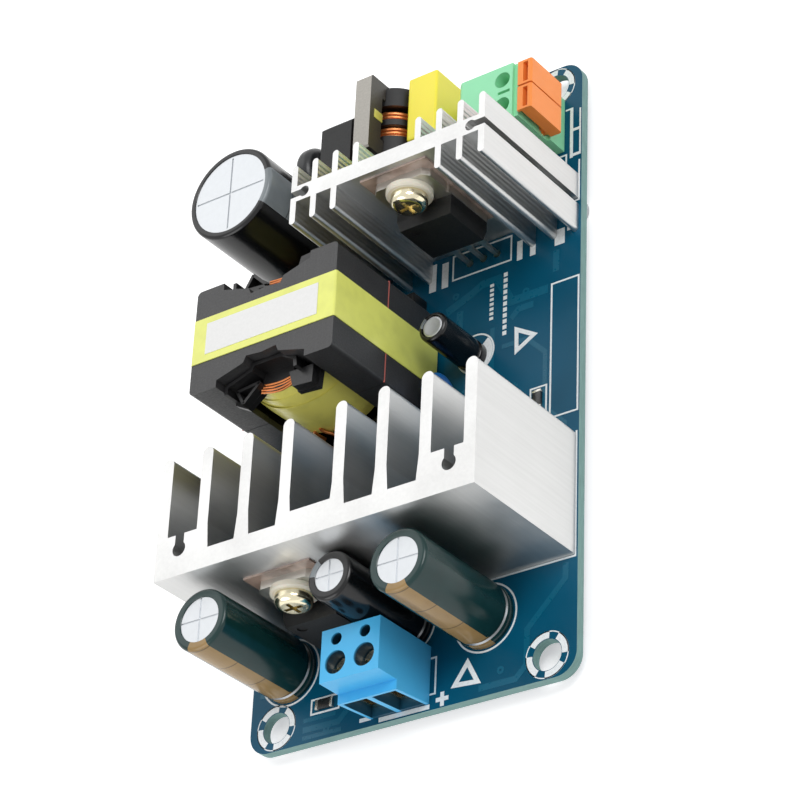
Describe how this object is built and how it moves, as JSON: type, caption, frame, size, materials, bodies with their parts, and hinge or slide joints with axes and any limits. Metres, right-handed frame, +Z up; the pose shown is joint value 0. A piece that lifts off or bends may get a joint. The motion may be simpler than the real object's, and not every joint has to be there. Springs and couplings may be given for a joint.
{
  "type": "open frame power supply",
  "caption": "Open frame mains power supply on a blue circuit board, with finned heatsinks, a tall transformer, lever wire terminal for the input and screw terminal for the output.",
  "frame": {"origin": "centre of the four mounting holes, on the underside of the board", "axes": "+Z up from the board, +X to the side of the wire levers, -Y to the output screw terminal"},
  "size_m": [0.058, 0.105, 0.0301],
  "materials": {
    "board_mask": "solder mask on glass fibre laminate, gloss",
    "solder": "reflowed solder",
    "tinned_wire": "tinned copper",
    "heatsink_aluminium": "extruded, matt",
    "screw_steel": "zinc plated, polished",
    "mica_pad": "clear grey insulating sheet",
    "tab_copper": "tinned copper, satin",
    "device_black": "moulded epoxy, matt",
    "bush_white": "moulded, natural",
    "ferrite": "ground ferrite",
    "bobbin_black": "moulded phenolic",
    "winding_tape": "polyester tape over the winding",
    "copper_wire": "enamelled copper",
    "yellow_tape": "polyester tape",
    "paper_label": "blank paper",
    "can_aluminium": "drawn can",
    "sleeve_black": "shrunk sleeve",
    "sleeve_green": "shrunk sleeve",
    "choke_ferrite": "ferrite frame",
    "box_yellow": "moulded box",
    "disc_green": "dipped epoxy",
    "disc_blue": "dipped epoxy",
    "fuse_glass": "ceramic tube, plated caps",
    "resistor_tan": "lacquered film resistor",
    "terminal_green": "moulded nylon",
    "lever_orange": "moulded nylon",
    "terminal_blue": "moulded nylon",
    "clamp_brass": "nickelled brass",
    "spring_steel": "stainless spring",
    "chip_dark": "thick film",
    "chip_tan": "ceramic",
    "led_clear": "clear resin"
  },
  "bodies": {
    "supply": {"bridge_rectifier": "device_black", "bulk_capacitor_can": "can_aluminium", "bulk_capacitor_sleeve": "sleeve_black", "chip_capacitors": "chip_tan", "chip_resistors": "chip_dark", "choke_bobbin": "bobbin_black", "choke_core": "choke_ferrite", "choke_tape": "yellow_tape", "choke_windings": "copper_wire", "circuit_board": "board_mask", "clamp_resistor": "resistor_tan", "component_leads": "tinned_wire", "controller_chip": "device_black", "fuse": "fuse_glass", "indicator_led": "led_clear", "input_clamp_springs": "spring_steel", "input_pins": "tinned_wire", "input_terminal_housing": "terminal_green", "mosfet_body": "device_black", "mosfet_bush": "bush_white", "mosfet_insulating_pad": "mica_pad", "mosfet_screw": "screw_steel", "mosfet_tab_and_leads": "tab_copper", "optocoupler": "device_black", "output_capacitor_left_can": "can_aluminium", "output_capacitor_left_sleeve": "sleeve_green", "output_capacitor_right_can": "can_aluminium", "output_capacitor_right_sleeve": "sleeve_green", "output_capacitor_small_can": "can_aluminium", "output_capacitor_small_sleeve": "sleeve_black", "output_contacts": "clamp_brass", "output_heatsink": "heatsink_aluminium", "output_heatsink_screws": "screw_steel", "output_terminal_housing": "terminal_blue", "primary_heatsink": "heatsink_aluminium", "primary_heatsink_screws": "screw_steel", "rectifier_body": "device_black", "rectifier_bush": "bush_white", "rectifier_insulating_pad": "mica_pad", "rectifier_screw": "screw_steel", "rectifier_tab_and_leads": "tab_copper", "solder_joints": "solder", "supply_capacitor": "sleeve_black", "thermistor": "disc_green", "transformer_bobbin": "bobbin_black", "transformer_core_lower": "ferrite", "transformer_core_upper": "ferrite", "transformer_label": "paper_label", "transformer_lead_wires": "copper_wire", "transformer_pins": "tinned_wire", "transformer_tape": "yellow_tape", "transformer_winding": "winding_tape", "x_capacitor": "box_yellow", "y_capacitor": "disc_blue"},
    "front_lever": {"input_lever_front": "lever_orange"},
    "back_lever": {"input_lever_back": "lever_orange"},
    "left_clamp_screw": {"output_clamp_screw_left": "clamp_brass"},
    "right_clamp_screw": {"output_clamp_screw_right": "clamp_brass"},
    "left_clamp_cage": {"output_clamp_cage_left": "clamp_brass"},
    "right_clamp_cage": {"output_clamp_cage_right": "clamp_brass"}
  },
  "joints": [
    {"name": "front_lever_press", "type": "hinge", "parent": "supply", "child": "front_lever", "pos_m": [0.02485, 0.0386, 0.0066], "axis": [0, -1, 0], "range_deg": [0, 5], "stiffness_Nm_per_rad": 0.05},
    {"name": "back_lever_press", "type": "hinge", "parent": "supply", "child": "back_lever", "pos_m": [0.02485, 0.0433, 0.0066], "axis": [0, -1, 0], "range_deg": [0, 5], "stiffness_Nm_per_rad": 0.05},
    {"name": "left_clamp_turn", "type": "hinge", "parent": "supply", "child": "left_clamp_screw", "pos_m": [-0.00384, -0.0479, 0.01], "axis": [0, 0, -1], "range_deg": [0, 1298]},
    {"name": "left_cage_lift", "type": "slide", "parent": "supply", "child": "left_clamp_cage", "axis": [0, 0, 1], "range_m": [0, 0.0018]},
    {"name": "right_clamp_turn", "type": "hinge", "parent": "supply", "child": "right_clamp_screw", "pos_m": [0.00124, -0.0479, 0.01], "axis": [0, 0, -1], "range_deg": [0, 1298]},
    {"name": "right_cage_lift", "type": "slide", "parent": "supply", "child": "right_clamp_cage", "axis": [0, 0, 1], "range_m": [0, 0.0018]}
  ],
  "couplings": [
    {"joint": "left_clamp_turn", "follows": "left_cage_lift", "rad_per_m": 12566},
    {"joint": "right_clamp_turn", "follows": "right_cage_lift", "rad_per_m": 12566}
  ]
}
